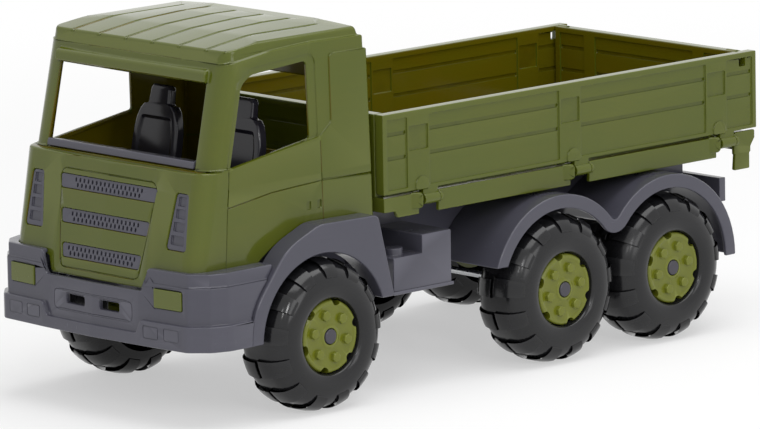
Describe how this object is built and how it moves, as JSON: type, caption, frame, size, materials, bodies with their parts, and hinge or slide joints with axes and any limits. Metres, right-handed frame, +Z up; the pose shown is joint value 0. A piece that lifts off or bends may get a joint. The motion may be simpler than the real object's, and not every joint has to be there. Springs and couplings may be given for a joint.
{
  "type": "toy six-wheeled cargo truck",
  "caption": "Toy cargo truck with an open-window cab, a fold-down cargo bed and free-rolling wheels on steel axles.",
  "frame": {"origin": "centre of the truck's length and width, on the ground under the wheels", "axes": "+X forward, +Y to the truck's left, +Z up"},
  "size_m": [0.447, 0.192, 0.2105],
  "materials": {
    "olive_plastic": "glossy moulded plastic",
    "hub_plastic": "glossy moulded plastic",
    "grey_plastic": "glossy moulded plastic",
    "seat_plastic": "glossy moulded plastic",
    "tyre_plastic": "glossy blow-moulded plastic",
    "axle_steel": "drawn wire"
  },
  "bodies": {
    "truck": {"chassis_frame": "grey_plastic", "axle_bearings": "grey_plastic", "front_bumper": "grey_plastic", "front_fender_left": "grey_plastic", "front_fender_right": "grey_plastic", "step_box_left": "grey_plastic", "step_box_right": "grey_plastic", "rear_mudguard_left": "grey_plastic", "rear_mudguard_right": "grey_plastic", "lamp_lenses": "olive_plastic", "cab_shell": "olive_plastic", "grille_inserts": "grey_plastic", "corner_vents": "grey_plastic", "cab_floor": "grey_plastic", "dashboard": "grey_plastic", "seat_left": "seat_plastic", "seat_right": "seat_plastic", "bed_floor": "olive_plastic", "bed_front_board": "olive_plastic", "axle_front": "axle_steel", "axle_middle": "axle_steel", "axle_rear": "axle_steel"},
    "left_board": {"side_board_left": "olive_plastic"},
    "right_board": {"side_board_right": "olive_plastic"},
    "rear_board": {"tailgate": "olive_plastic"},
    "wheel_front_left": {"tyre_front_left": "tyre_plastic", "hub_front_left": "hub_plastic"},
    "wheel_front_right": {"tyre_front_right": "tyre_plastic", "hub_front_right": "hub_plastic"},
    "wheel_middle_left": {"tyre_middle_left": "tyre_plastic", "hub_middle_left": "hub_plastic"},
    "wheel_middle_right": {"tyre_middle_right": "tyre_plastic", "hub_middle_right": "hub_plastic"},
    "wheel_rear_left": {"tyre_rear_left": "tyre_plastic", "hub_rear_left": "hub_plastic"},
    "wheel_rear_right": {"tyre_rear_right": "tyre_plastic", "hub_rear_right": "hub_plastic"}
  },
  "joints": [
    {"name": "left_board_fold", "type": "hinge", "parent": "truck", "child": "left_board", "pos_m": [0, 0.0795, 0.1065], "axis": [-1, 0, 0], "range_deg": [0, 110]},
    {"name": "right_board_fold", "type": "hinge", "parent": "truck", "child": "right_board", "pos_m": [0, -0.0795, 0.1065], "axis": [1, 0, 0], "range_deg": [0, 110]},
    {"name": "tailgate_fold", "type": "hinge", "parent": "truck", "child": "rear_board", "pos_m": [-0.2175, 0, 0.1065], "axis": [0, -1, 0], "range_deg": [0, 140]},
    {"name": "front_left_roll", "type": "hinge", "parent": "truck", "child": "wheel_front_left", "pos_m": [0.129, 0.0775, 0.0428], "axis": [0, 1, 0], "continuous": true},
    {"name": "front_right_roll", "type": "hinge", "parent": "truck", "child": "wheel_front_right", "pos_m": [0.129, -0.0775, 0.0428], "axis": [0, 1, 0], "continuous": true},
    {"name": "middle_left_roll", "type": "hinge", "parent": "truck", "child": "wheel_middle_left", "pos_m": [-0.0525, 0.0775, 0.0428], "axis": [0, 1, 0], "continuous": true},
    {"name": "middle_right_roll", "type": "hinge", "parent": "truck", "child": "wheel_middle_right", "pos_m": [-0.0525, -0.0775, 0.0428], "axis": [0, 1, 0], "continuous": true},
    {"name": "rear_left_roll", "type": "hinge", "parent": "truck", "child": "wheel_rear_left", "pos_m": [-0.14, 0.0775, 0.0428], "axis": [0, 1, 0], "continuous": true},
    {"name": "rear_right_roll", "type": "hinge", "parent": "truck", "child": "wheel_rear_right", "pos_m": [-0.14, -0.0775, 0.0428], "axis": [0, 1, 0], "continuous": true}
  ]
}
